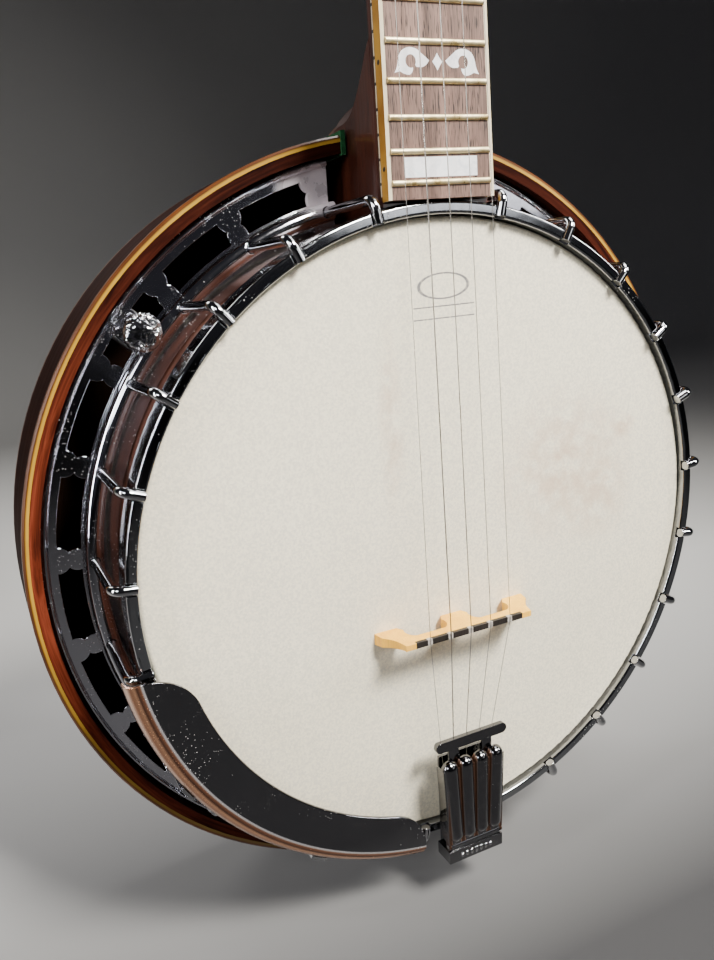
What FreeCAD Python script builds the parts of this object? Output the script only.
import FreeCAD, Part
import math
import os
import re
import Sketcher
from FreeCAD import Placement, Rotation, Vector

# Five-string banjo with a resonator, in millimetres. It stands upright, +Z towards the headstock, and its
# head faces -Y. The origin is the lowest point of the resonator's rim, half way through its side wall's depth.

# Driving sizes. Depths in the pot are counted along +Y from the top of the head, heights from the pot's axis.
SIZES = {
    # places of the two working frames
    "pot_height": 178.6,
    "pot_depth": 64.5,
    "board_end_height": 146.0,
    "board_end_depth": 5.1,
    "neck_tilt": 1.135,
    "headstock_tilt": 13.0,
    # head, tone ring and rim
    "head_radius": 139.7,
    "head_film": 0.35,
    "head_collar": 9.0,
    "head_roll": 1.0,
    "flesh_inner": 140.1,
    "flesh_outer": 143.1,
    "flesh_top": 5.2,
    "flesh_bottom": 9.2,
    "ring_outer": 139.35,
    "ring_inner": 120.5,
    "ring_crown": 129.0,
    "ring_top": 0.4,
    "ring_ledge": 3.0,
    "ring_seat": 12.9,
    "ring_skirt": 18.3,
    "ring_skirt_wall": 3.9,
    "rim_outer": 139.5,
    "rim_inner": 122.5,
    "rim_back": 67.0,
    "rim_tongue": 4.05,
    # tension hoop
    "hoop_inner": 140.4,
    "hoop_outer": 145.3,
    "hoop_top": -3.6,
    "hoop_bottom": 9.8,
    "hoop_rebate": 143.3,
    "hoop_round": 1.2,
    "notch_width": 5.2,
    "notch_depth": 2.2,
    # bracket hooks and their places round the pot
    "hook_first": 11.6,
    "hook_step": 14.54,
    "hook_circle": 150.0,
    "hook_radius": 2.1,
    "hook_bend": 4.0,
    "hook_tip": 140.9,
    "hook_top": -3.52,
    "hook_end": 59.0,
    "nut_across": 7.9,
    "nut_length": 11.0,
    # one-piece flange
    "flange_inner": 139.9,
    "bead_top": 36.5,
    "bead_half": 3.8,
    "bead_bottom": 47.0,
    "plate_top": 44.2,
    "collar_top": 39.6,
    "plate_thick": 2.0,
    "flange_outer": 171.0,
    "lip_rise": 1.2,
    "slot_inner": 154.6,
    "slot_outer": 164.6,
    "slot_half": 15.2,
    "slot_cusp": 17.0,
    "slot_arc": 5.2,
    "heel_gap_half": 26.0,
    "bar_half": 6.5,
    # resonator
    "shell_outer": 178.6,
    "shell_inner": 171.4,
    "shell_front": 38.8,
    "shell_edge": 88.0,
    "shell_crown": 99.0,
    "shell_back_wall": 4.0,
    "binding_width": 2.7,
    "binding_front": 4.0,
    "binding_back": 3.5,
    "binding_round": 0.8,
    "cutout_half": 21.0,
    "cutout_floor": 66.5,
    "felt_thick": 2.0,
    "felt_proud": 1.6,
    # thumbscrews and the lugs they screw into
    "thumb_circle": 158.0,
    "thumb_head": 7.75,
    "thumb_front": 26.5,
    "thumb_under": 36.0,
    "thumb_shoulder": 3.7,
    "thumb_shaft": 2.4,
    "thumb_end": 56.0,
    "lug_inner": 154.4,
    "lug_half": 7.0,
    "lug_thick": 7.5,
    # coordinator rods
    "rod_radius": 3.0,
    "rod_front": 29.0,
    "rod_rear": 56.0,
    "rod_neck_end": 117.5,
    "rod_tail_end": 152.5,
    "rod_nut_across": 11.0,
    "lag_end": 168.0,
    # armrest
    "rest_inner": 129.0,
    "rest_crease": 146.3,
    "rest_outer": 153.8,
    "rest_top": -9.4,
    "rest_sheet": 1.2,
    "rest_start": 98.8,
    "rest_span": 71.7,
    "rest_corner": 21.0,
    # tailpiece
    "tail_half": 13.6,
    "tail_floor": -5.25,
    "tail_sheet": 1.3,
    "tail_front": 101.0,
    "tail_back": 155.0,
    "tail_bar_place": 91.0,
    "tail_bar_depth": -12.2,
    "tail_bar_radius": 2.1,
    "tail_bar_half": 17.0,
    "tail_bar_high": 2.6,
    "cover_half_front": 17.0,
    "cover_half_back": 15.2,
    "cover_sheet": 1.0,
    "cover_face": -15.6,
    "cover_rib": 4.3,
    "cover_rib_inner": 3.4,
    "cover_axis": -13.5,
    "cover_front": 103.3,
    "cover_back": 139.5,
    "hinge_place": 146.0,
    "hinge_depth": -14.2,
    "hinge_pin": 0.8,
    "hinge_barrel": 1.3,
    "anchor_place": 137.0,
    "anchor_spacing": 5.0,
    "bar_spacing": 7.2,
    # bridge and strings
    "bridge_place": -35.2,
    "bridge_top": -16.0,
    "bridge_ebony": 1.7,
    "bridge_arch": 10.0,
    "bridge_base": 5.2,
    "bridge_crest": 2.6,
    "bridge_top_half": 33.2,
    "bridge_cap_half": 28.2,
    "bridge_foot_half": 40.0,
    "string_spacing": 10.6,
    "scale": 666.75,
    # neck and fretboard: across, depth below the board's top, distance from its end at the pot
    "board_half": 24.3,
    "board_thick": 4.8,
    "board_step": 325.0,
    "board_step_left": 21.4,
    "board_narrow_left": 15.72,
    "nut_half": 15.9,
    "nut_place": 485.5,
    "nut_thick": 5.0,
    "board_binding": 1.6,
    "fret_height": 1.1,
    "fret_width": 2.2,
    "inlay_thick": 0.8,
    "heel_floor": 66.0,
    "peg_place": 337.0,
    "peg_depth": 11.5,
    "truss_radius": 2.5,
    "truss_depth": 10.5,
    # headstock and tuners
    "headstock_drop": 3.3,
    "headstock_thick": 14.0,
    "overlay_thick": 1.5,
    "post_across_low": 24.0,
    "post_place_low": 42.0,
    "post_across_high": 22.0,
    "post_place_high": 100.0,
    "post_radius": 3.0,
    "shank_radius": 4.9,
    "case_radius": 9.2,
    "case_length": 17.0,
    "button_radius": 10.5,
    "button_length": 11.0,
}

HOOKS_A_SIDE = 12
STRINGS = 5
FRETS = 22
STRING_DIAMETERS = (0.254, 0.508, 0.406, 0.305, 0.254)
THUMB_SLOTS = (2, 8)
CLAMP_SLOTS = (7, 9)
INLAID_FRETS = (3, 5, 7, 10, 12, 15, 17)
FRICTION_GAP = 0.03

doc = FreeCAD.newDocument("Banjo")
sheet = doc.addObject("Spreadsheet::Sheet", "Size")
for row, (alias, number) in enumerate(SIZES.items(), start=1):
    sheet.set(f"A{row}", alias)
    sheet.set(f"B{row}", str(number))
    sheet.setAlias(f"B{row}", alias)
doc.recompute()

nodes = []


# ---------------------------------------------------------------- sizes, frames and sketches

def value(rule):
    """The number that a rule over the sheet's aliases stands for."""
    return float(sheet.evalExpression(str(rule)))


def bound(rule):
    """The rule as another object's expression, each alias led by the sheet's name."""
    return re.sub(r"[a-z_]+", lambda found: f"Size.{found[0]}" if found[0] in SIZES else found[0], str(rule))


def bind(thing, prop, rule):
    thing.setExpression(prop, bound(rule))


def cap_radius(half_chord, rise):
    """Rule for the radius of the arc that rises so far over a chord."""
    return f"(({half_chord})^2 + ({rise})^2) / (2 * ({rise}))"


def turn(degrees):
    """A turn about the pot's axis; positive goes from +Z towards +X."""
    return Placement(Vector(), Rotation(Vector(0, 1, 0), degrees))


def shift(x, y, z):
    return Placement(Vector(x, y, z), Rotation())


POT = shift(0, -value("pot_depth"), value("pot_height"))
NECK = POT * Placement(
    Vector(0, -value("board_end_depth"), value("board_end_height")),
    Rotation(Vector(1, 0, 0), -value("neck_tilt")),
)
HEADSTOCK = NECK * Placement(
    Vector(0, value("headstock_drop"), value("nut_place + nut_thick")),
    Rotation(Vector(1, 0, 0), -value("headstock_tilt")),
)
HOOK_ANGLES = [
    side * value(f"hook_first + hook_step * {k}") for side in (1, -1) for k in range(HOOKS_A_SIDE)
]
THUMB_ANGLES = [
    side * value(f"hook_first + hook_step * ({k} + 0.5)") for k in THUMB_SLOTS for side in (-1, 1)
]
AXES = {
    "x": Rotation(Vector(0, 1, 0), 90),
    "y": Rotation(Vector(1, 0, 0), -90),
    "z": Rotation(),
}
PLANE_SIGN = {"XY_Plane": 1, "XZ_Plane": -1, "YZ_Plane": 1}


def keep(part, label, frame=None):
    """Takes an object as one of the banjo's sub-parts, under the label that names its file."""
    part.Label = label
    if frame is not None:
        part.Placement = frame
    nodes.append(part)
    return part


def new_body(name):
    return doc.addObject("PartDesign::Body", name)


def origin_feature(body, role):
    return next(feature for feature in body.Origin.OriginFeatures if feature.Role == role)


def new_sketch(body, plane, lift=0, swing=0):
    """An empty sketch on one of the body's own planes, lifted along the plane's axis and swung in it."""
    sketch = body.newObject("Sketcher::SketchObject", "Sketch")
    sketch.AttachmentSupport = [(origin_feature(body, plane), "")]
    sketch.MapMode = "FlatFace"
    sketch.AttachmentOffset = Placement(Vector(), Rotation(Vector(0, 0, 1), -swing))
    bind(sketch, "AttachmentOffset.Base.z", f"({lift}) * {PLANE_SIGN[plane]}")
    return sketch


def arc_between(start, end, radius):
    """The short arc from start to end, anticlockwise for a positive radius."""
    if radius < 0:
        start, end = end, start
    chord = end - start
    across = Vector(-chord.y, chord.x, 0).normalize()
    reach = math.sqrt(max(radius**2 - chord.Length**2 / 4, 0))
    centre = (start + end) / 2 + across * reach
    angles = [math.atan2((p - centre).y, (p - centre).x) for p in (start, end)]
    circle = Part.Circle(centre, Vector(0, 0, 1), abs(radius))
    return Part.ArcOfCircle(circle, angles[0], angles[1] + (math.tau if angles[1] < angles[0] else 0))


def outline(sketch, corners, arcs=None):
    """A closed outline through corners given as rules; arcs holds the radius of the arc leaving a corner."""
    arcs = arcs or {}
    spots = [Vector(value(x), value(y), 0) for x, y in corners]
    count = len(spots)
    first = sketch.GeometryCount
    ends = []
    for i, spot in enumerate(spots):
        following = spots[(i + 1) % count]
        if i in arcs:
            radius = value(arcs[i])
            sketch.addGeometry(arc_between(spot, following, radius))
            ends.append((2, 1) if radius < 0 else (1, 2))
        else:
            sketch.addGeometry(Part.LineSegment(spot, following))
            ends.append((1, 2))
    for i in range(count):
        after = (i + 1) % count
        sketch.addConstraint(
            Sketcher.Constraint("Coincident", first + i, ends[i][1], first + after, ends[after][0])
        )
    for i, rules in enumerate(corners):
        for kind, rule, number in zip(("DistanceX", "DistanceY"), rules, (spots[i].x, spots[i].y)):
            index = sketch.addConstraint(Sketcher.Constraint(kind, -1, 1, first + i, ends[i][0], number))
            bind(sketch, f"Constraints[{index}]", rule)
    for i, rule in arcs.items():
        index = sketch.addConstraint(Sketcher.Constraint("Radius", first + i, abs(value(rule))))
        bind(sketch, f"Constraints[{index}]", f"abs({rule})")
    return sketch


def circle(sketch, x, y, radius):
    index = sketch.addGeometry(Part.Circle(Vector(value(x), value(y), 0), Vector(0, 0, 1), value(radius)))
    for kind, rule in (("DistanceX", x), ("DistanceY", y)):
        number = sketch.addConstraint(Sketcher.Constraint(kind, -1, 1, index, 3, value(rule)))
        bind(sketch, f"Constraints[{number}]", rule)
    number = sketch.addConstraint(Sketcher.Constraint("Radius", index, value(radius)))
    bind(sketch, f"Constraints[{number}]", radius)
    return sketch


# ---------------------------------------------------------------- features

def revolve(body, sketch, degrees=360):
    feature = body.newObject("PartDesign::Revolution", "Turned")
    feature.Profile = sketch
    feature.ReferenceAxis = (sketch, ["V_Axis"])
    bind(feature, "Angle", degrees)
    return feature


def pad(body, sketch, length):
    """Material half to each side of the sketch."""
    feature = body.newObject("PartDesign::Pad", "Pad")
    feature.Profile = sketch
    feature.Midplane = True
    bind(feature, "Length", length)
    return feature


def pocket(body, sketch, length=1000):
    """A cut half to each side of the sketch."""
    feature = body.newObject("PartDesign::Pocket", "Pocket")
    feature.Profile = sketch
    feature.Midplane = True
    bind(feature, "Length", length)
    return feature


def repeat(body, feature, angle, count, backwards=False):
    """The feature again and again about the body's Y axis, the last one at the angle."""
    pattern = body.newObject("PartDesign::PolarPattern", "Pattern")
    pattern.Originals = [feature]
    pattern.Axis = (origin_feature(body, "Y_Axis"), [""])
    bind(pattern, "Angle", angle)
    pattern.Occurrences = count
    pattern.Reversed = backwards
    body.Tip = pattern
    return pattern


def turned(name, corners, arcs=None, degrees=360):
    """A body turned about its Y axis from a profile of radius and depth."""
    body = new_body(name)
    revolve(body, outline(new_sketch(body, "XY_Plane"), corners, arcs), degrees)
    return body


def block(name, low, high):
    box = doc.addObject("Part::Box", name)
    for axis, side, a, b in zip("xyz", ("Length", "Width", "Height"), low, high):
        bind(box, side, f"({b}) - ({a})")
        bind(box, f"Placement.Base.{axis}", a)
    return box


def cylinder(name, axis, start, radius, length):
    rod = doc.addObject("Part::Cylinder", name)
    rod.Placement = Placement(Vector(), AXES[axis])
    bind(rod, "Radius", radius)
    bind(rod, "Height", length)
    for letter, rule in zip("xyz", start):
        bind(rod, f"Placement.Base.{letter}", rule)
    return rod


def ball(name, centre, radius):
    sphere = doc.addObject("Part::Sphere", name)
    sphere.Placement = Placement(Vector(), AXES["y"])
    bind(sphere, "Radius", radius)
    for letter, rule in zip("xyz", centre):
        bind(sphere, f"Placement.Base.{letter}", rule)
    return sphere


def hexagon(name, axis, start, across, length):
    prism = doc.addObject("Part::Prism", name)
    prism.Polygon = 6
    prism.Placement = Placement(Vector(), AXES[axis])
    bind(prism, "Circumradius", f"({across}) / sqrt(3)")
    bind(prism, "Height", length)
    for letter, rule in zip("xyz", start):
        bind(prism, f"Placement.Base.{letter}", rule)
    return prism


def fuse(name, pieces):
    whole = doc.addObject("Part::MultiFuse", name)
    whole.Shapes = pieces
    return whole


def gather(name, pieces):
    group = doc.addObject("Part::Compound", name)
    group.Links = pieces
    return group


def cut(name, base, tools):
    rest = doc.addObject("Part::Cut", name)
    rest.Base = base
    rest.Tool = tools[0] if len(tools) == 1 else gather(f"{name}_tools", tools)
    return rest


def common(name, first, second):
    shared = doc.addObject("Part::Common", name)
    shared.Base = first
    shared.Tool = second
    return shared


def copies(name, source, frames):
    """One node of identical pieces: the source's shape at each of the frames."""
    doc.recompute()
    group = doc.addObject("Part::Feature", name)
    group.Shape = Part.makeCompound([source.Shape.transformed(frame.toMatrix()) for frame in frames])
    return group


def rounded_path(points, bend):
    """A wire of straight runs through the points, joined by tangent arcs of the bend's radius."""
    edges = []
    start = points[0]
    for before, corner, after in zip(points, points[1:], points[2:]):
        arriving = (corner - before).normalize()
        leaving = (after - corner).normalize()
        angle = arriving.getAngle(leaving)
        inset = bend * math.tan(angle / 2)
        inward = (leaving - arriving).normalize()
        middle = corner + inward * (bend / math.cos(angle / 2) - bend)
        arc = Part.Arc(corner - arriving * inset, middle, corner + leaving * inset)
        edges.append(Part.LineSegment(start, corner - arriving * inset).toShape())
        edges.append(arc.toShape())
        start = corner + leaving * inset
    edges.append(Part.LineSegment(start, points[-1]).toShape())
    return Part.Wire(edges)


def tube(name, points, bend, radius):
    """A round wire of the radius along the points."""
    path = doc.addObject("Part::Feature", f"{name}_path")
    path.Shape = rounded_path(points, bend)
    section = doc.addObject("Part::Circle", f"{name}_section")
    bind(section, "Radius", radius)
    section.Placement = Placement(points[0], Rotation(Vector(0, 0, 1), points[1] - points[0]))
    sweep = doc.addObject("Part::Sweep", name)
    sweep.Sections = [section]
    sweep.Spine = (path, [f"Edge{i + 1}" for i in range(len(path.Shape.Edges))])
    sweep.Solid = True
    return sweep


# ---------------------------------------------------------------- pot

def head():
    """The plastic head: a flat film with a collar that runs down inside the flesh hoop."""
    keep(turned("head_film_body", [
        ("0", "0"),
        ("head_radius - head_roll", "0"),
        ("head_radius + head_film", "head_roll + head_film"),
        ("head_radius + head_film", "head_collar"),
        ("head_radius", "head_collar"),
        ("head_radius", "head_roll + head_film"),
        ("head_radius - head_roll", "head_film"),
        ("0", "head_film"),
    ], {1: "head_roll + head_film", 5: "-head_roll"}), "head", POT)


def flesh_hoop():
    keep(turned("flesh_hoop_body", [
        ("flesh_inner", "flesh_top"),
        ("flesh_outer", "flesh_top"),
        ("flesh_outer", "flesh_bottom"),
        ("flesh_inner", "flesh_bottom"),
    ]), "flesh_hoop", POT)


def tone_ring():
    """Flat-top tone ring: the crown under the head, an inner ledge, and a skirt over the rim's tongue."""
    keep(turned("tone_ring_body", [
        ("ring_inner", "ring_ledge"),
        ("ring_crown - 3", "ring_ledge"),
        ("ring_crown", "ring_top"),
        ("ring_outer - 1", "ring_top"),
        ("ring_outer", "ring_top + 1"),
        ("ring_outer", "ring_skirt"),
        ("ring_outer - ring_skirt_wall", "ring_skirt"),
        ("ring_outer - ring_skirt_wall", "ring_seat"),
        ("ring_inner", "ring_seat"),
    ], {3: "1"}), "tone_ring", POT)


def rim():
    """Laminated wooden rim, stepped for the tone ring and drilled for the coordinator rods."""
    body = turned("rim_body", [
        ("rim_inner", "ring_seat"),
        ("rim_outer - rim_tongue", "ring_seat"),
        ("rim_outer - rim_tongue", "ring_skirt"),
        ("rim_outer", "ring_skirt"),
        ("rim_outer", "rim_back - 2"),
        ("rim_outer - 2", "rim_back"),
        ("rim_inner + 2", "rim_back"),
        ("rim_inner", "rim_back - 2"),
    ], {4: "2", 6: "2"})
    holes = new_sketch(body, "XY_Plane")
    for place in ("rod_front", "rod_rear"):
        circle(holes, "0", place, "rod_radius")
    pocket(body, holes)
    keep(body, "rim", POT)


def round_the_pot(body, make_cut, first, step, count):
    """A cut repeated down both sides of the pot, from the neck to the tailpiece."""
    for side in (1, -1):
        feature = make_cut(side * value(first))
        repeat(body, feature, f"({step}) * {count - 1}", count, backwards=side < 0)


def tension_hoop():
    """Notched hoop that draws the head down, rebated over the flesh hoop."""
    body = turned("tension_hoop_body", [
        ("hoop_inner", "hoop_top + hoop_round"),
        ("hoop_inner + hoop_round", "hoop_top"),
        ("hoop_outer - hoop_round", "hoop_top"),
        ("hoop_outer", "hoop_top + hoop_round"),
        ("hoop_outer", "hoop_bottom"),
        ("hoop_rebate", "hoop_bottom"),
        ("hoop_rebate", "flesh_top"),
        ("hoop_inner", "flesh_top"),
    ], {0: "hoop_round", 2: "hoop_round"})

    def notch(angle):
        sketch = outline(new_sketch(body, "XZ_Plane", "hoop_top", angle), [
            ("-notch_width / 2", "hoop_inner - 3"),
            ("notch_width / 2", "hoop_inner - 3"),
            ("notch_width / 2", "hoop_outer + 3"),
            ("-notch_width / 2", "hoop_outer + 3"),
        ])
        return pocket(body, sketch, "notch_depth * 2")

    round_the_pot(body, notch, "hook_first", "hook_step", HOOKS_A_SIDE)
    keep(body, "tension_hoop", POT)


def bracket_hooks():
    """Round hooks that lie in the hoop's notches and run back through the flange to their nuts."""
    depth = value("hook_top")
    circle_radius = value("hook_circle")
    points = [
        Vector(0, value("hook_end"), circle_radius),
        Vector(0, depth, circle_radius),
        Vector(0, depth, value("hook_tip")),
    ]
    hook = tube("bracket_hook", points, value("hook_bend"), "hook_radius")
    keep(copies("bracket_hook_set", hook, [turn(a) for a in HOOK_ANGLES]), "bracket_hooks", POT)


def bracket_nuts():
    start = ("0", "bead_bottom", "hook_circle")
    bar = hexagon("bracket_nut_bar", "y", start, "nut_across", "nut_length")
    bore = cylinder("bracket_nut_bore", "y", start, f"hook_radius + {FRICTION_GAP}", "nut_length")
    nut = cut("bracket_nut", bar, [bore])
    keep(copies("bracket_nut_set", nut, [turn(a) for a in HOOK_ANGLES]), "bracket_nuts", POT)


def flange():
    """One-piece cast flange: a round bead for the hooks, and a pierced plate out to the resonator."""
    body = turned("flange_body", [
        ("flange_inner", "collar_top"),
        ("hook_circle - bead_half", "collar_top"),
        ("hook_circle + bead_half", "collar_top"),
        ("hook_circle + bead_half", "plate_top"),
        ("flange_outer - 3", "plate_top"),
        ("flange_outer", "plate_top"),
        ("flange_outer", "plate_top + plate_thick"),
        ("hook_circle + bead_half", "plate_top + plate_thick"),
        ("hook_circle + bead_half", "bead_bottom"),
        ("flange_inner", "bead_bottom"),
    ], {1: cap_radius("bead_half", "collar_top - bead_top"), 4: cap_radius("1.5", "lip_rise")})

    def slot(angle):
        sketch = outline(new_sketch(body, "XZ_Plane", "plate_top", angle), [
            ("-slot_half", "sqrt(slot_inner^2 - slot_half^2)"),
            ("slot_half", "sqrt(slot_inner^2 - slot_half^2)"),
            ("slot_cusp", "(slot_inner + slot_outer) / 2 - 0.8"),
            ("slot_half", "sqrt(slot_outer^2 - slot_half^2)"),
            ("-slot_half", "sqrt(slot_outer^2 - slot_half^2)"),
            ("-slot_cusp", "(slot_inner + slot_outer) / 2 - 0.8"),
        ], {0: "-slot_inner", 1: "-slot_arc", 2: "-slot_arc", 3: "slot_outer", 4: "-slot_arc", 5: "-slot_arc"})
        return pocket(body, sketch, "bead_bottom")

    def hook_hole(angle):
        sketch = new_sketch(body, "XZ_Plane", "plate_top", angle)
        circle(sketch, "0", "hook_circle", "hook_radius + 0.3")
        return pocket(body, sketch, "bead_bottom")

    round_the_pot(body, slot, "hook_first + hook_step / 2", "hook_step", HOOKS_A_SIDE - 1)
    slot(180)
    round_the_pot(body, hook_hole, "hook_first", "hook_step", HOOKS_A_SIDE)
    for angle in THUMB_ANGLES:
        bar = outline(new_sketch(body, "XZ_Plane", "plate_top + plate_thick / 2", angle), [
            ("-bar_half", "slot_inner - 1"),
            ("bar_half", "slot_inner - 1"),
            ("bar_half", "slot_outer + 1"),
            ("-bar_half", "slot_outer + 1"),
        ])
        circle(bar, "0", "thumb_circle", "thumb_shaft + 0.3")
        pad(body, bar, "plate_thick")
    gap = outline(new_sketch(body, "XZ_Plane", "plate_top"), [
        ("-heel_gap_half", "rim_inner"),
        ("heel_gap_half", "rim_inner"),
        ("heel_gap_half", "shell_outer"),
        ("-heel_gap_half", "shell_outer"),
    ])
    pocket(body, gap, "bead_bottom")
    keep(body, "flange", POT)


def coordinator_rods():
    """Two rods across the pot, each meeting the lag bolt that holds the neck's heel."""
    rods = [
        cylinder(f"rod_{place}", "z", ("0", place, f"-({tail})"), "rod_radius", f"{tail} + rod_neck_end")
        for place, tail in (("rod_front", "rod_tail_end"), ("rod_rear", "rod_tail_end - 5.5"))
    ]
    bolts = [
        cylinder(
            f"lag_{place}", "z", ("0", place, "rod_neck_end + 0.3"), "rod_radius", "lag_end - rod_neck_end"
        )
        for place in ("rod_front", "rod_rear")
    ]
    keep(gather("rods", rods + bolts), "coordinator_rods", POT)


def coordinator_nuts():
    """Hexagon nuts inside and outside the rim at the tail, and inside it at the neck."""
    nuts = []
    for place in ("rod_front", "rod_rear"):
        spans = (
            ("-(rim_outer + 0.1) - 5.5", "5.5"),
            ("-(rim_inner - 0.4)", "5"),
            ("rim_inner - 5.4", "5"),
        )
        for number, (start, length) in enumerate(spans):
            name = f"nut_{place}_{number}"
            bar = hexagon(f"{name}_bar", "z", ("0", place, start), "rod_nut_across", length)
            bore = cylinder(f"{name}_bore", "z", ("0", place, start), f"rod_radius + {FRICTION_GAP}", length)
            nuts.append(cut(name, bar, [bore]))
    start = ("0", "rod_front", "-rod_tail_end + 0.4")
    bar = hexagon("hanger_nut_bar", "z", start, "rod_nut_across", "4")
    bore = cylinder("hanger_nut_bore", "z", start, f"rod_radius + {FRICTION_GAP}", "4")
    nuts.append(cut("hanger_nut", bar, [bore]))
    keep(gather("rod_nuts", nuts), "coordinator_nuts", POT)


# ---------------------------------------------------------------- resonator

def heel_cutout(name, half, floor):
    """The space that the neck's heel takes out of the resonator's wall."""
    return block(name, (f"-({half})", "0", "100"), (half, floor, "shell_outer + 20"))


def resonator():
    """Dished wooden back with a straight side wall, bound along both edges."""
    outer_crown = cap_radius("shell_outer - binding_width", "shell_crown - shell_edge")
    inner_crown = cap_radius("shell_inner", "shell_crown - shell_edge + 1")
    shell = turned("shell_blank", [
        ("0", "shell_crown"),
        ("0", "shell_crown - shell_back_wall"),
        ("shell_inner", "shell_edge - shell_back_wall - 1"),
        ("shell_inner", "shell_front"),
        ("shell_outer - binding_width", "shell_front"),
        ("shell_outer - binding_width", "shell_front + binding_front"),
        ("shell_outer", "shell_front + binding_front"),
        ("shell_outer", "shell_edge - binding_back"),
        ("shell_outer - binding_width", "shell_edge - binding_back"),
        ("shell_outer - binding_width", "shell_edge"),
    ], {1: f"-({inner_crown})", 9: outer_crown})
    rings = [
        turned(f"binding_ring_{number}", [
            ("shell_outer - binding_width", inner),
            ("shell_outer - binding_width", outer),
            ("shell_outer - binding_round", outer),
            ("shell_outer", f"{outer} + {way} * binding_round"),
            ("shell_outer", inner),
        ])
        for number, (outer, inner, way) in enumerate((
            ("shell_front", "shell_front + binding_front", 1),
            ("shell_edge", "shell_edge - binding_back", -1),
        ))
    ]
    gap = heel_cutout("shell_gap", "cutout_half", "cutout_floor")
    ring_gap = heel_cutout("ring_gap", "cutout_half", "cutout_floor")
    keep(cut("shell_cut", shell, [gap]), "resonator_shell", POT)
    keep(cut("bindings_cut", gather("binding_rings", rings), [ring_gap]), "resonator_bindings", POT)


def heel_felt():
    """Strip of felt that lines the cut-out and stands proud of the wall on both sides."""
    wall = turned("felt_wall", [
        ("shell_inner - felt_proud / 2", "shell_front - felt_proud / 2"),
        ("shell_outer + felt_proud", "shell_front - felt_proud / 2"),
        ("shell_outer + felt_proud", "cutout_floor"),
        ("shell_inner - felt_proud / 2", "cutout_floor"),
    ])
    inside = heel_cutout("felt_inside", "cutout_half - felt_thick", "cutout_floor - felt_thick")
    lining = cut("felt_lining", heel_cutout("felt_block", "cutout_half", "cutout_floor"), [inside])
    keep(common("felt", wall, lining), "heel_felt", POT)


def resonator_lugs():
    """Threaded lugs inside the wall, one behind each thumbscrew."""
    ring = turned("lug_ring", [
        ("lug_inner", "plate_top + plate_thick + 0.1"),
        ("shell_inner", "plate_top + plate_thick + 0.1"),
        ("shell_inner", "plate_top + plate_thick + lug_thick + 9"),
        ("shell_inner - 3", "plate_top + plate_thick + lug_thick + 9"),
        ("shell_inner - 3", "plate_top + plate_thick + lug_thick"),
        ("lug_inner", "plate_top + plate_thick + lug_thick"),
    ])
    slab = block("lug_slab", ("-lug_half", "plate_top", "lug_inner - 2"), ("lug_half", "90", "shell_outer"))
    bore = cylinder("lug_bore", "y", ("0", "plate_top", "thumb_circle"), "thumb_shaft + 0.05", "30")
    lug = cut("lug", common("lug_piece", ring, slab), [bore])
    keep(copies("lug_set", lug, [turn(a) for a in THUMB_ANGLES]), "resonator_lugs", POT)


def thumbscrews():
    """Knurled thumbscrews, each with a shoulder on the flange and a threaded shaft in its lug."""
    for number, angle in enumerate(THUMB_ANGLES, start=1):
        body = turned(f"thumbscrew_body_{number}", [
            ("0", "thumb_front"),
            ("thumb_head - 3", "thumb_front + 0.7"),
            ("thumb_head", "thumb_front + 3.2"),
            ("thumb_head", "thumb_under - 1"),
            ("thumb_head - 1", "thumb_under"),
            ("thumb_shoulder", "thumb_under"),
            ("thumb_shoulder", "plate_top - 0.03"),
            ("thumb_shaft", "plate_top - 0.03"),
            ("thumb_shaft", "thumb_end"),
            ("0", "thumb_end"),
        ], {0: "22", 1: "3.6"})
        groove = circle(new_sketch(body, "XZ_Plane", "thumb_under - 3"), "0", "thumb_head + 0.35", "0.8")
        repeat(body, pocket(body, groove, "5"), 360, 24)
        keep(body, f"thumbscrew_{number}", POT * turn(angle) * shift(0, 0, value("thumb_circle")))


# ---------------------------------------------------------------- armrest

def rest_corner_tool(name, angle, side):
    """What is cut away to round the armrest's inner corner at one end, tangent to its inner edge."""
    middle = "sqrt((rest_inner + rest_corner)^2 - rest_corner^2)"
    reach = "rest_corner * rest_inner / (rest_inner + rest_corner)"
    near, far = ("-1", reach) if side > 0 else (f"-{reach}", "1")
    slab = block(f"{name}_slab", (near, "-30", "rest_inner - 4"), (far, "30", middle))
    rounding = cylinder(f"{name}_round", "y", (f"{side} * rest_corner", "-30", middle), "rest_corner", "60")
    tool = cut(name, slab, [rounding])
    tool.Placement = turn(angle)
    return tool


def armrest_plate():
    """Pressed sheet that follows the hoop, with its outer edge rolled down over the hooks."""
    body = turned("rest_sheet_body", [
        ("rest_inner", "rest_top + 0.8"),
        ("rest_inner + 0.8", "rest_top"),
        ("rest_crease", "rest_top"),
        ("rest_outer", "rest_top + rest_outer - rest_crease"),
        ("rest_outer", "-0.8"),
        ("rest_outer - rest_sheet", "-0.8"),
        ("rest_outer - rest_sheet", "rest_top + rest_outer - rest_crease"),
        ("rest_crease", "rest_top + rest_sheet"),
        ("rest_inner", "rest_top + rest_sheet"),
    ], {
        0: "0.8",
        2: "rest_outer - rest_crease",
        6: "-(rest_outer - rest_crease - rest_sheet)",
    }, "rest_span")
    start = value("rest_start")
    span = value("rest_span")
    body.Placement = turn(-90 - start - span)
    ends = [
        rest_corner_tool("rest_corner_first", -start, -1),
        rest_corner_tool("rest_corner_last", -start - span, 1),
    ]
    keep(cut("rest_plate", body, ends), "armrest_plate", POT)


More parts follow.
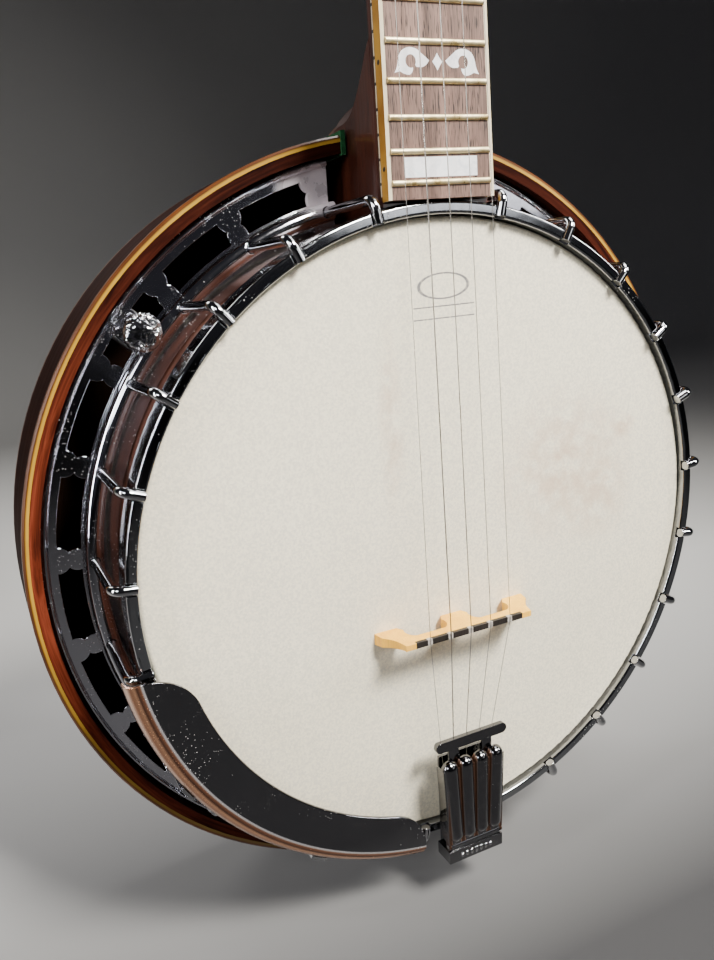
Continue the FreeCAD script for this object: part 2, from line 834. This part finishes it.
def armrest_clamps():
    """Two clamps, each gripping a pair of hooks between an outer and an inner bar."""
    reach = "hook_circle * sin(hook_step / 2) + 4"
    leg = block("clamp_leg", ("-4", "-4.2", "rest_outer + 0.05"), ("4", "26", "rest_outer + 1.6"))
    outer = block("clamp_outer", (f"-({reach})", "17", "151.2"), (reach, "26", "rest_outer + 0.05"))
    inner = block("clamp_inner", (f"-({reach})", "17", "144.2"), (reach, "26", "146.5"))
    bores = [
        cylinder(f"clamp_bore_{number}", "z", ("0", "21.5", "140"), "1.65", "30") for number in (1, 2)
    ]
    front = cut("clamp_front", fuse("clamp_front_blank", [leg, outer]), [bores[0]])
    back = cut("clamp_back", inner, [bores[1]])
    shaft = cylinder("clamp_shaft", "z", ("0", "21.5", "143"), "1.6", "rest_outer + 1.6 - 143")
    cap = cylinder("clamp_cap", "z", ("0", "21.5", "rest_outer + 1.6"), "3.2", "2.2")
    clamp = gather("clamp", [front, back, fuse("clamp_screw", [shaft, cap])])
    frames = [turn(-value(f"hook_first + hook_step * ({k} + 0.5)")) for k in CLAMP_SLOTS]
    keep(copies("clamp_set", clamp, frames), "armrest_clamps", POT)


# ---------------------------------------------------------------- tailpiece

def tailpiece_hanger():
    """Angle bracket on the front coordinator rod, over the hoop and under the tailpiece."""
    body = new_body("hanger_body")
    profile = outline(new_sketch(body, "YZ_Plane"), [
        ("tail_floor + 0.05", "-127"),
        ("tail_floor + 0.05", "-148"),
        ("34", "-148"),
        ("34", "-146"),
        ("tail_floor + 1.5", "-146"),
        ("tail_floor + 1.5", "-127"),
    ])
    pad(body, profile, "14")
    holes = new_sketch(body, "XY_Plane", "-147")
    circle(holes, "0", "rod_front", "rod_radius + 0.05")
    circle(holes, "0", "4", "1.55")
    pocket(body, holes, "10")
    keep(body, "tailpiece_hanger", POT)


def tailpiece_base():
    """Channel that holds the strings' ends, with the pressure bar on two arms in front of it."""
    top = "cover_axis + 0.6"
    arm_under = f"{top} + tail_sheet"
    panel_top = "-148.6"
    bar_low = "-tail_bar_place - tail_bar_high"
    bar_high = "-tail_bar_place + tail_bar_high"
    pieces = [
        block("base_floor", ("-tail_half", "tail_floor - tail_sheet", panel_top),
              ("tail_half", "tail_floor", "-tail_front")),
        block("base_bridge", ("-tail_half", top, "-114"), ("tail_half", arm_under, "-104")),
        block("base_panel", ("-cover_half_back", "cover_face", "-tail_back"),
              ("cover_half_back", "tail_floor", panel_top)),
        block(
            "base_knuckle", ("-tail_half", "-15.0", f"{panel_top} - 0.5"), ("tail_half", "-13.4", "-146.8")
        ),
        cylinder(
            "base_barrel", "x", ("-tail_half", "hinge_depth", "-hinge_place"), "hinge_barrel", "tail_half * 2"
        ),
        cylinder(
            "base_bar", "x", ("-tail_bar_half", "tail_bar_depth", "-tail_bar_place"),
            "tail_bar_radius", "tail_bar_half * 2"
        ),
        block("base_bar_face", ("-tail_bar_half", "tail_bar_depth - 2.2", bar_low),
              ("tail_bar_half", "tail_bar_depth", bar_high)),
    ]
    for side in (-1, 1):
        low, high = ("-tail_half", "-tail_half + 1") if side < 0 else ("tail_half - 1", "tail_half")
        inside, outside = ("-12", "-6.5") if side < 0 else ("6.5", "12")
        bar_end = f"{side} * tail_bar_half"
        pieces.append(block(f"base_wall{side}", (low, top, panel_top), (high, "tail_floor", "-112")))
        pieces.append(block(f"base_arm{side}", (inside, top, "-105"), (outside, arm_under, bar_low)))
        pieces.append(cylinder(
            f"base_bar_tip{side}", "y", (bar_end, "tail_bar_depth - 2.2", "-tail_bar_place"),
            "tail_bar_high", "2.2"
        ))
        pieces.append(
            ball(f"base_bar_end{side}", (bar_end, "tail_bar_depth", "-tail_bar_place"), "tail_bar_radius")
        )
    for number in range(STRINGS):
        spot = (f"anchor_spacing * {number - 2}", "-9.6", "-anchor_place")
        pieces.append(cylinder(f"base_anchor_{number}", "y", spot, "1", "9.6 + tail_floor - 0.5"))
    bore = cylinder("base_bore", "x", ("-20", "hinge_depth", "-hinge_place"), "hinge_pin", "40")
    keep(cut("base", fuse("base_blank", pieces), [bore]), "tailpiece_base", POT)


def tailpiece_hinge_pin():
    rod = cylinder("hinge_pin_rod", "x", ("-cover_half_back", "hinge_depth", "-hinge_place"), "hinge_pin",
                   "cover_half_back * 2")
    keep(gather("hinge", [rod]), "tailpiece_hinge_pin", POT)


def capsule(name, radius):
    """A round bar along the tailpiece, closed by half balls at both ends."""
    return fuse(name, [
        cylinder(
            f"{name}_run", "z", ("0", "cover_axis", "-cover_back"), radius, "cover_back - cover_front"
        ),
        ball(f"{name}_front", ("0", "cover_axis", "-cover_front"), radius),
        ball(f"{name}_back", ("0", "cover_axis", "-cover_back"), radius),
    ])


def fanned(name, part, number):
    """The part carried to one of the cover's four ribs, which spread towards the bridge."""
    back = value(f"{number} * (cover_half_back - cover_rib) / 1.5")
    front = value(f"{number} * (cover_half_front - cover_rib) / 1.5")
    spread = math.degrees(math.atan2(front - back, value("cover_back - cover_front")))
    holder = gather(name, [part])
    pivot = shift(0, 0, -value("cover_back"))
    holder.Placement = shift(back, 0, 0) * pivot * turn(spread) * pivot.inverse()
    return holder


def tailpiece_cover():
    """Hinged cover pressed into four ribs that stand out of its flat sheet, with two side walls."""
    below = block("cover_below", ("-30", "cover_axis + 0.1", "-160"), ("30", "20", "-90"))
    ribs = []
    hollows = []
    for count, number in enumerate((-1.5, -0.5, 0.5, 1.5)):
        rib = cut(f"cover_rib_{count}", capsule(f"cover_bar_{count}", "cover_rib"), [below])
        ribs.append(fanned(f"cover_rib_place_{count}", rib, number))
        hollow = capsule(f"cover_hollow_{count}", "cover_rib_inner")
        hollows.append(fanned(f"cover_hollow_place_{count}", hollow, number))
    face = new_body("cover_face_body")
    sheet_end = "-hinge_place + 1.5"
    pad(face, outline(new_sketch(face, "XZ_Plane", "cover_face + cover_sheet / 2"), [
        ("-cover_half_back", sheet_end),
        ("cover_half_back", sheet_end),
        ("cover_half_front", "-cover_front"),
        ("-cover_half_front", "-cover_front"),
    ]), "cover_sheet")
    pieces = [face]
    for side in (-1, 1):
        wall = new_body(f"cover_wall{side}")
        pad(wall, outline(new_sketch(wall, "XZ_Plane", "-12.4"), [
            (f"{side} * (cover_half_back - cover_sheet)", "-hinge_place + 4"),
            (f"{side} * cover_half_back", "-hinge_place + 4"),
            (f"{side} * cover_half_front", "-cover_front"),
            (f"{side} * (cover_half_front - cover_sheet)", "-cover_front"),
        ]), "5.6")
        low = "-cover_half_back" if side < 0 else "cover_half_back - cover_sheet"
        high = "-cover_half_back + cover_sheet" if side < 0 else "cover_half_back"
        pieces.append(wall)
        pieces.append(block(f"cover_lug{side}", (low, "cover_face + 0.2", "-hinge_place"),
                            (high, "hinge_depth + 1.6", "-hinge_place + 5")))
        pieces.append(cylinder(
            f"cover_ear{side}", "x", (low, "hinge_depth", "-hinge_place"), "1.6", "cover_sheet"
        ))
    loose = f"hinge_pin + {FRICTION_GAP}"
    bore = cylinder("cover_bore", "x", ("-20", "hinge_depth", "-hinge_place"), loose, "40")
    blank = fuse("cover_blank", pieces + ribs)
    keep(cut("cover", blank, hollows + [bore]), "tailpiece_cover", POT)


def tailpiece_adjust_screw():
    """Screw through the hanger that bears on the hoop and sets the tailpiece's angle."""
    shaft = cylinder("adjust_shaft", "z", ("0", "4", "-154"), "1.5", "8.6")
    cap = cylinder("adjust_cap", "z", ("0", "4", "-155"), "4", "4")
    keep(fuse("adjust", [shaft, cap]), "tailpiece_adjust_screw", POT)


# ---------------------------------------------------------------- bridge and strings

def string_number(position):
    """Sheet rule for a string's place across the bridge; position 0 is the short fifth string."""
    return f"string_spacing * {position - 2}"


def bridge_outline(body):
    """Side view of the bridge: three feet, two arches and shoulders that rise to the top bar."""
    base = "0"
    top = "bridge_top + bridge_ebony"
    return outline(new_sketch(body, "XY_Plane", "bridge_place"), [
        ("-bridge_foot_half", base),
        ("-bridge_foot_half + 1", "-5"),
        ("-bridge_top_half", "bridge_top"),
        ("-bridge_cap_half", "bridge_top"),
        ("-bridge_cap_half", top),
        ("bridge_cap_half", top),
        ("bridge_cap_half", "bridge_top"),
        ("bridge_top_half", "bridge_top"),
        ("bridge_foot_half - 1", "-5"),
        ("bridge_foot_half", base),
        ("bridge_foot_half - 11", base),
        ("bridge_foot_half - 13", "-3"),
        ("bridge_foot_half - 16", "-bridge_arch"),
        ("9.5", "-bridge_arch"),
        ("7", "-3"),
        ("5.5", base),
        ("-5.5", base),
        ("-7", "-3"),
        ("-9.5", "-bridge_arch"),
        ("-bridge_foot_half + 16", "-bridge_arch"),
        ("-bridge_foot_half + 13", "-3"),
        ("-bridge_foot_half + 11", base),
    ], {1: "-16", 7: "-16", 11: "-5", 13: "-5", 17: "-5", 19: "-5"})


def bridge():
    """Maple bridge with ebony let into its top, thin there, its inlaid slips notched for the strings."""
    maple = new_body("bridge_maple_body")
    pad(maple, bridge_outline(maple), "bridge_base")
    wedge = new_body("bridge_wedge_body")
    pad(wedge, outline(new_sketch(wedge, "YZ_Plane"), [
        ("0", "bridge_place - bridge_base / 2"),
        ("0", "bridge_place + bridge_base / 2"),
        ("bridge_top", "bridge_place + bridge_crest / 2"),
        ("bridge_top", "bridge_place - bridge_crest / 2"),
    ]), "100")
    keep(common("bridge_maple", maple, wedge), "bridge", POT)
    cap = block("bridge_cap_block", ("-bridge_cap_half", "bridge_top", "bridge_place - 4"),
                ("bridge_cap_half", "bridge_top + bridge_ebony", "bridge_place + 4"))
    slips = [
        block(f"bridge_slip_{number}",
              (f"{string_number(number)} - 1.2", "bridge_top", "bridge_place - 4"),
              (f"{string_number(number)} + 1.2", "bridge_top + bridge_ebony", "bridge_place + 4"))
        for number in range(STRINGS)
    ]
    notches = [
        block(f"bridge_notch_{number}",
              (f"{string_number(number)} - 0.32", "bridge_top - 1", "bridge_place - 4"),
              (f"{string_number(number)} + 0.32", "bridge_top + 0.25", "bridge_place + 4"))
        for number in range(STRINGS)
    ]
    capped = common("bridge_cap", cap, wedge)
    keep(cut("bridge_cap_cut", capped, slips), "bridge_ebony", POT)
    shaped = common("bridge_slips", gather("bridge_slip_set", slips), wedge)
    keep(cut("bridge_slips_notched", shaped, notches), "bridge_inserts", POT)


def fret_place(number):
    """How far fret number lies from the board's end; 0 is the nut."""
    return value("bridge_place + scale - board_end_height") - value("scale") * (1 - 2 ** (-number / 12))


def in_pot(frame, x, y, z):
    """A point of a frame, in the pot's coordinates."""
    return (POT.inverse() * frame).multVec(Vector(x, y, z))


def nut_slot(position):
    """Place of a long string across the nut."""
    return (position - 2.5) * 8.1


def post_frames():
    """Frames of the four headstock tuners, in string order from the fourth string to the first."""
    low = (value("post_across_low"), value("post_place_low"))
    high = (value("post_across_high"), value("post_place_high"))
    places = ((-low[0], low[1]), (-high[0], high[1]), (high[0], high[1]), (low[0], low[1]))
    return [HEADSTOCK * shift(across, 0, along) for across, along in places]


PEG = NECK * Placement(
    Vector(-value("board_narrow_left"), value("peg_depth"), value("peg_place")), Rotation(Vector(0, 0, 1), 90)
)
WRAP_DEPTH = -6.3
PEG_WRAP = 4.2


def strings():
    """Five strings from their anchors under the pressure bar, over bridge and nut, to the posts."""
    bar_under = value("tail_bar_depth + tail_bar_radius")
    bar_place = -value("tail_bar_place")
    gap = FRICTION_GAP
    crest = value("bridge_place")
    for position in range(STRINGS):
        radius = STRING_DIAMETERS[position] / 2
        across = value(string_number(position))
        points = [
            Vector(value("anchor_spacing") * (position - 2), -8.2, -value("anchor_place") + 1.3),
            Vector(value("bar_spacing") * (position - 2), bar_under + radius + gap, bar_place),
            Vector(across, value("bridge_top") - radius - gap, crest),
        ]
        wrap = value("post_radius") + radius + gap
        if position == 0:
            points.append(in_pot(NECK, -18.0, -1.7 - radius - gap, value("board_step") - 0.8))
            points.append(in_pot(NECK, -value("board_narrow_left") - PEG_WRAP, value("peg_depth") - wrap,
                                 value("peg_place") - 0.4))
        else:
            side = -1 if position < 3 else 1
            frame = post_frames()[position - 1]
            points.append(in_pot(NECK, nut_slot(position), -1.6 - radius - gap, value("nut_place + nut_thick")))
            points.append(in_pot(frame, -side * wrap, WRAP_DEPTH, -0.4))
        keep(tube(f"string_run_{position}", points, 1.6, radius), f"string_{STRINGS - position}", POT)


# ---------------------------------------------------------------- neck

def neck_section(body, along, left, right, depth):
    """The neck's D-shaped section: flat under the fretboard, short straight sides and a round back."""
    flank = "board_thick + 3.2"
    radius = cap_radius(f"(({right}) - ({left})) / 2", f"{depth} - ({flank})")
    return outline(new_sketch(body, "XY_Plane", along), [
        (left, "board_thick"), (right, "board_thick"), (right, flank), (left, flank),
    ], {2: radius})


def heel_section(body, depth, half, reach):
    """One level of the heel: straight flanks, and a rounded front that faces along the neck."""
    nose = f"({half}) * 0.6"
    shoulder = f"({reach}) - {nose}"
    return outline(new_sketch(body, "XZ_Plane", depth), [
        (f"-({half})", "-14"), (half, "-14"), (half, shoulder), (f"-({half})", shoulder),
    ], {2: cap_radius(half, nose)})


def loft(body, sections, ruled):
    feature = body.newObject("PartDesign::AdditiveLoft", "Loft")
    feature.Profile = sections[0]
    feature.Sections = sections[1:]
    feature.Ruled = ruled
    return feature


def right_edge(along):
    return f"board_half - (board_half - nut_half) * ({along}) / nut_place"


def headstock_outline(body, depth, foot):
    """Plain paddle headstock from its foot by the nut, flared, then lightly waisted between the tuners."""
    half = [(16.3, foot), (17.0, 5.0), (36.5, 34.0), (37.0, 56.0), (33.5, 108.0), (28.0, 146.0)]
    arcs = [None, -28.0, 26.0, -90.0, 40.0]
    right = [(str(x), str(z)) for x, z in half]
    left = [(str(-x), str(z)) for x, z in reversed(half)]
    bends = {i: arc for i, arc in enumerate(arcs) if arc}
    bends.update({2 * len(half) - 2 - i: arc for i, arc in enumerate(arcs) if arc})
    bends[len(half) - 1] = 46.0
    return outline(new_sketch(body, "XZ_Plane", depth), right + left, bends)


def headstock_slab(name, front, back, foot):
    body = new_body(name)
    pad(body, headstock_outline(body, f"({front} + {back}) / 2", foot), f"{back} - ({front})")
    body.Placement = HEADSTOCK
    return body


def tuner_holes(name):
    holes = []
    for number, frame in enumerate(post_frames()):
        hole = cylinder(f"{name}_{number}", "y", ("0", "-5", "0"), "shank_radius + 0.05", "40")
        holder = gather(f"{name}_{number}_place", [hole])
        holder.Placement = frame
        holes.append(holder)
    return holes


def neck():
    """Mahogany neck, heel and headstock in one piece."""
    shaft = new_body("neck_shaft")
    sections = [
        neck_section(shaft, along, left, right_edge(along), depth)
        for along, left, depth in (
            ("nut_place + nut_thick", "-nut_half", "19.5"),
            ("board_step + 8", "-board_narrow_left", "21.5"),
            ("board_step - 1", "-board_step_left", "21.8"),
            ("110", "-board_half + 1", "24.5"),
            ("-10", "-board_half", "26"),
        )
    ]
    loft(shaft, sections, True)
    shaft.Placement = NECK
    heel = new_body("neck_heel")
    levels = [
        heel_section(heel, depth, half, reach)
        for depth, half, reach in (
            ("9", "23.6", "72"), ("17", "22", "66"), ("24", "20.4", "60"), ("31", "19.2", "54"),
            ("38", "18.4", "49.5"), ("46", "17.8", "47.5"), ("56", "17.2", "46.5"), ("heel_floor", "16.4", "43.5"),
        )
    ]
    loft(heel, levels, False)
    heel.Placement = NECK
    blade = headstock_slab("headstock_slab", "overlay_thick", "overlay_thick + headstock_thick", -4.0)
    blank = fuse("neck_blank", [shaft, heel, blade])
    pot_space = cylinder("pot_space", "y", ("0", "-20", "0"), "rim_outer + 0.05", "120")
    hoop_space = cylinder("hoop_space", "y", ("0", "-20", "0"), "board_end_height", "hoop_bottom + 20.6")
    lag_holes = [
        cylinder(f"lag_hole_{place}", "z", ("0", place, "130"), "rod_radius", "lag_end - 129.7")
        for place in ("rod_front", "rod_rear")
    ]
    pot_tools = gather("neck_pot_tools", [pot_space, hoop_space] + lag_holes)
    pot_tools.Placement = POT
    channel = cylinder("truss_channel", "z", ("0", "truss_depth", "20"), "truss_radius", "nut_place + 40")
    peg_hole = cylinder("peg_hole", "x", ("-board_narrow_left - 10", "peg_depth", "peg_place"), "3.5",
                        "board_narrow_left + 7")
    ledge_end = "nut_place + nut_thick"
    nut_ledge = block("nut_ledge", ("-25", "-8", "nut_place - 10"), ("25", "board_thick", ledge_end))
    own_tools = gather("neck_own_tools", [channel, peg_hole, nut_ledge])
    own_tools.Placement = NECK
    keep(cut("neck_cut", blank, [pot_tools, own_tools] + tuner_holes("neck_tuner_hole")), "neck")


def heel_cap():
    body = new_body("heel_cap_body")
    pad(body, heel_section(body, "heel_floor + 1", "16.4", "43.5"), "2")
    body.Placement = NECK
    pot_space = cylinder("cap_pot_space", "y", ("0", "-20", "0"), "rim_outer + 0.05", "120")
    pot_space_place = gather("cap_pot_space_place", [pot_space])
    pot_space_place.Placement = POT
    keep(cut("heel_cap_cut", body, [pot_space_place]), "heel_cap")


def board_outline(body, inset, end, nut_end):
    """Plan of the fretboard, stepped in at the fifth fret, drawn in by the inset."""
    return outline(new_sketch(body, "XZ_Plane", "board_thick / 2"), [
        (f"-board_half + {inset}", end),
        (f"board_half - {inset}", end),
        (f"nut_half - {inset}", nut_end),
        (f"-nut_half + {inset}", nut_end),
        (f"-board_narrow_left + {inset}", f"board_step - {inset}"),
        (f"-board_step_left + {inset}", f"board_step - {inset}"),
    ])


def inlay_shapes():
    """Plain pearl figures: diamonds at the marker frets, hooked leaves at the 19th, and a block at the 22nd."""
    figures = []

    def slip(name, corners, arcs=None):
        body = new_body(name)
        pad(body, outline(new_sketch(body, "XZ_Plane", "inlay_thick / 2"), corners, arcs), "inlay_thick")
        figures.append(body)

    def diamond(name, middle, half_wide, half_high):
        slip(name, [
            (-half_wide, middle), (0, middle - half_high), (half_wide, middle), (0, middle + half_high),
        ], {side: "-14" for side in range(4)})

    for number in INLAID_FRETS:
        middle = (fret_place(number) + fret_place(number - 1)) / 2
        diamond(f"pearl_{number}", middle, 5.5, 4.2)
    middle = (fret_place(19) + fret_place(18)) / 2
    diamond("pearl_19", middle, 2.2, 3.0)
    for side in (-1, 1):
        leaf = [
            (-3.6, 0.4), (-8.3, 3.8), (-15.4, 3.4), (-17.0, 0.3), (-18.7, -4.0), (-16.3, -3.5), (-12.3, -4.6),
            (-10.7, -2.1), (-13.5, -1.1), (-13.1, 1.7), (-10.0, 1.6), (-9.7, -1.2), (-9.2, -1.9), (-6.9, -2.0),
        ]
        bends = {1: 6.8, 2: 6, 3: -9, 5: 7, 6: 2.5, 7: -2.25, 8: -2.25, 9: -2.25, 10: -2.25, 13: 5}
        slip(f"pearl_leaf{side}", [(-side * x, middle + z) for x, z in leaf],
             {corner: f"{-side} * {radius}" for corner, radius in bends.items()})
    middle = (fret_place(22) + fret_place(21)) / 2
    slip("pearl_block", [(-16.5, middle - 3.6), (16.5, middle - 3.6), (16.5, middle + 3.6), (-16.5, middle + 3.6)])
    return figures


def fretboard():
    figures = inlay_shapes()
    core = new_body("board_core")
    pad(core, board_outline(core, "board_binding", "0", "nut_place"), "board_thick")
    keep(cut("board_inlaid", core, figures), "fretboard", NECK)
    keep(gather("pearls", figures), "inlays", NECK)
    edge = new_body("board_edge")
    pad(edge, board_outline(edge, "0", "0", "nut_place"), "board_thick")
    inner = new_body("board_inner")
    pad(inner, board_outline(inner, "board_binding", "0", "nut_place"), "board_thick + 2")
    keep(cut("board_binding_cut", edge, [inner]), "fretboard_binding", NECK)


def frets():
    """Fret crowns, each a low round bar across the board between its bindings."""
    high = value("fret_height")
    half_width = value("fret_width / 2")
    inset = value("board_binding") + 0.1
    bars = []
    for number in range(1, FRETS + 1):
        along = fret_place(number)
        right = value(right_edge(along)) - inset
        if along < value("board_step"):
            spread = value("(board_half - board_step_left) / board_step") * along
            left = value("board_half") - spread - inset
        else:
            left = value("board_narrow_left") - inset
        arc = Part.Arc(
            Vector(-left, 0, along - half_width), Vector(-left, -high, along), Vector(-left, 0, along + half_width)
        )
        foot = Part.LineSegment(Vector(-left, 0, along + half_width), Vector(-left, 0, along - half_width))
        profile = Part.Face(Part.Wire([arc.toShape(), foot.toShape()]))
        bars.append(profile.extrude(Vector(left + right, 0, 0)))
    crowns = doc.addObject("Part::Feature", "fret_crowns")
    crowns.Shape = Part.makeCompound(bars)
    keep(crowns, "frets", NECK)


def nuts_of_bone():
    """The nut, slotted for the four long strings, and the fifth string's own small nut."""
    front = "nut_place + 0.02"
    bar = block("nut_bar", ("-nut_half", "-2.4", front), ("nut_half", "board_thick", "nut_place + nut_thick"))
    slots = [
        block(f"nut_slot_{position}",
              (f"{nut_slot(position)} - 0.32", "-3", "nut_place - 1"),
              (f"{nut_slot(position)} + 0.32", "-1.6", "nut_place + nut_thick + 1"))
        for position in range(1, STRINGS)
    ]
    pip = cylinder("fifth_nut_pip", "y", ("-18", "-1.7", "board_step - 2.4"), "1.4", "1.7")
    keep(gather("bone_nuts", [cut("nut_slotted", bar, slots), pip]), "nut", NECK)


def headstock_overlay():
    slab = headstock_slab("overlay_slab", "0", "overlay_thick", 0.4)
    keep(cut("overlay_cut", slab, tuner_holes("overlay_tuner_hole")), "headstock_overlay")


def truss_rod():
    thick = f"truss_radius - {FRICTION_GAP}"
    rod = cylinder("truss_rod_bar", "z", ("0", "truss_depth", "20"), thick, "nut_place - 20")
    keep(gather("truss", [rod]), "truss_rod", NECK)
    body = new_body("truss_cover_body")
    pad(body, outline(new_sketch(body, "XZ_Plane", "-0.9"), [
        ("-9", "3"), ("9", "3"), ("4", "29"), ("-4", "29"),
    ], {1: "-40", 2: "4.2", 3: "-40"}), "1.8")
    keep(body, "truss_rod_cover", HEADSTOCK)


# ---------------------------------------------------------------- tuners

def tuner_case(name):
    """Planetary tuner: a threaded shank through the headstock and a round gear case behind it."""
    back = "overlay_thick + headstock_thick"
    body = turned(name, [
        (f"post_radius + {FRICTION_GAP}", "-3.6"),
        ("shank_radius", "-3.6"),
        ("shank_radius", f"{back} + 0.05"),
        ("case_radius - 1", f"{back} + 0.05"),
        ("case_radius", f"{back} + 1"),
        ("case_radius", f"{back} + case_length - 3"),
        ("case_radius - 3", f"{back} + case_length"),
        ("2.53", f"{back} + case_length"),
        ("2.53", f"{back} + case_length - 6"),
        (f"post_radius + {FRICTION_GAP}", f"{back} + case_length - 6"),
    ], {3: "1", 5: "3"})
    return body


def button_profile(start):
    """Round button with a short shaft into the gear case; start is the depth of the case's back."""
    return [
        ("0", f"{start} - 5.6"),
        ("2.5", f"{start} - 5.6"),
        ("2.5", f"{start} + 2"),
        ("button_radius - 3", f"{start} + 2.4"),
        ("button_radius", f"{start} + 5"),
        ("button_radius", f"{start} + button_length - 2"),
        ("button_radius - 3", f"{start} + button_length + 1"),
        ("0", f"{start} + button_length + 1"),
    ]


BUTTON_ARCS = {3: "4", 5: "3"}


def wrap_rings(name, radius, wrap_start):
    """String wound three times on its post, from the depth given towards the neck."""
    turns = []
    for number in range(3):
        ring = doc.addObject("Part::Torus", f"{name}_turn_{number}")
        bind(ring, "Radius1", f"post_radius + {radius + FRICTION_GAP}")
        bind(ring, "Radius2", radius)
        ring.Placement = Placement(Vector(0, wrap_start + number * (2 * radius + 0.02), 0), AXES["y"])
        turns.append(ring)
    return turns


def tuners():
    back = "overlay_thick + headstock_thick"
    cases = []
    collars = []
    for number, frame in enumerate(post_frames(), start=1):
        string = STRINGS - number
        case = tuner_case(f"tuner_case_{number}")
        case.Placement = frame
        cases.append(case)
        collar_bar = hexagon(f"collar_bar_{number}", "y", ("0", "-2.6", "0"), "12.7", "2.6")
        loose = f"shank_radius + {FRICTION_GAP}"
        collar_bore = cylinder(f"collar_bore_{number}", "y", ("0", "-4", "0"), loose, "6")
        collar = cut(f"collar_{number}", collar_bar, [collar_bore])
        collar.Placement = frame
        collars.append(collar)
        post = turned(f"tuner_post_body_{number}", [
            ("0", "-15"), ("2.2", "-15"), ("post_radius + 0.6", "-13.6"), ("post_radius + 0.6", "-12.6"),
            ("post_radius", "-10"), ("post_radius", f"{back} + case_length - 6.2"),
            ("0", f"{back} + case_length - 6.2"),
        ], {1: "1.6"})
        keep(post, f"tuner_post_{string}", frame)
        radius = STRING_DIAMETERS[number] / 2
        keep(gather(f"wrap_{number}", wrap_rings(f"wrap_{number}", radius, WRAP_DEPTH + 2 * radius + 0.1)),
             f"string_wrap_{string}", frame)
        button = turned(f"tuner_button_body_{number}", button_profile(f"{back} + case_length"), BUTTON_ARCS)
        keep(button, f"tuner_button_{string}", frame)
    keep(gather("tuner_cases", cases + collars), "tuner_housings")


def fifth_peg():
    """Geared fifth-string peg: shank in the neck's side, post, gear case and button on one axis."""
    core = turned("peg_core", [
        ("0", "-12"), ("3.45", "-12"), ("3.45", "0.4"), ("4.6", "0.4"), ("4.6", "1.4"),
        ("1.6", "1.4"), ("1.6", "10.6"), ("7.2", "10.6"), ("8", "11.4"), ("8", "22"), ("6", "24"),
        ("2.53", "24"), ("2.53", "17"), ("0", "17"),
    ], {7: "0.8", 9: "2"})
    keep(core, "fifth_peg_housing", PEG)
    post = turned("peg_sleeve", [
        (f"1.6 + {FRICTION_GAP}", "1.45"), ("4.4", "1.45"), ("post_radius", "2.6"), ("post_radius", "9.2"),
        ("4.4", "10.2"), ("4.4", "10.5"), (f"1.6 + {FRICTION_GAP}", "10.5"),
    ])
    keep(post, "fifth_peg_post", PEG)
    radius = STRING_DIAMETERS[0] / 2
    keep(gather("peg_wrap", wrap_rings("peg_wrap", radius, PEG_WRAP + 2 * radius + 0.1)), "string_wrap_5", PEG)
    keep(turned("peg_button", button_profile("24"), BUTTON_ARCS), "fifth_peg_button", PEG)


# ---------------------------------------------------------------- making and writing

def check_all():
    """Stops if any object failed, or if a sub-part has no sound solid."""
    failed = [thing.Name for thing in doc.Objects if {"Invalid", "Error"} & set(thing.State)]
    if failed:
        raise RuntimeError(f"objects that failed: {failed}")
    for part in nodes:
        shape = part.Shape
        if shape.isNull() or not shape.isValid() or not shape.Solids:
            raise RuntimeError(f"{part.Label} is not a sound solid")


for make in (
    head, flesh_hoop, tone_ring, rim, tension_hoop, bracket_hooks, bracket_nuts, flange, coordinator_rods,
    coordinator_nuts, resonator, heel_felt, resonator_lugs, thumbscrews, armrest_plate, armrest_clamps,
    tailpiece_hanger, tailpiece_base, tailpiece_hinge_pin, tailpiece_cover, tailpiece_adjust_screw, bridge,
    strings, neck, heel_cap, fretboard, frets, nuts_of_bone, headstock_overlay, truss_rod, tuners, fifth_peg,
):
    make()
doc.recompute()
check_all()
os.makedirs("parts", exist_ok=True)
for part in nodes:
    part.Shape.exportStep(f"parts/{part.Label}.step")
print(len(nodes), "sub-parts written")
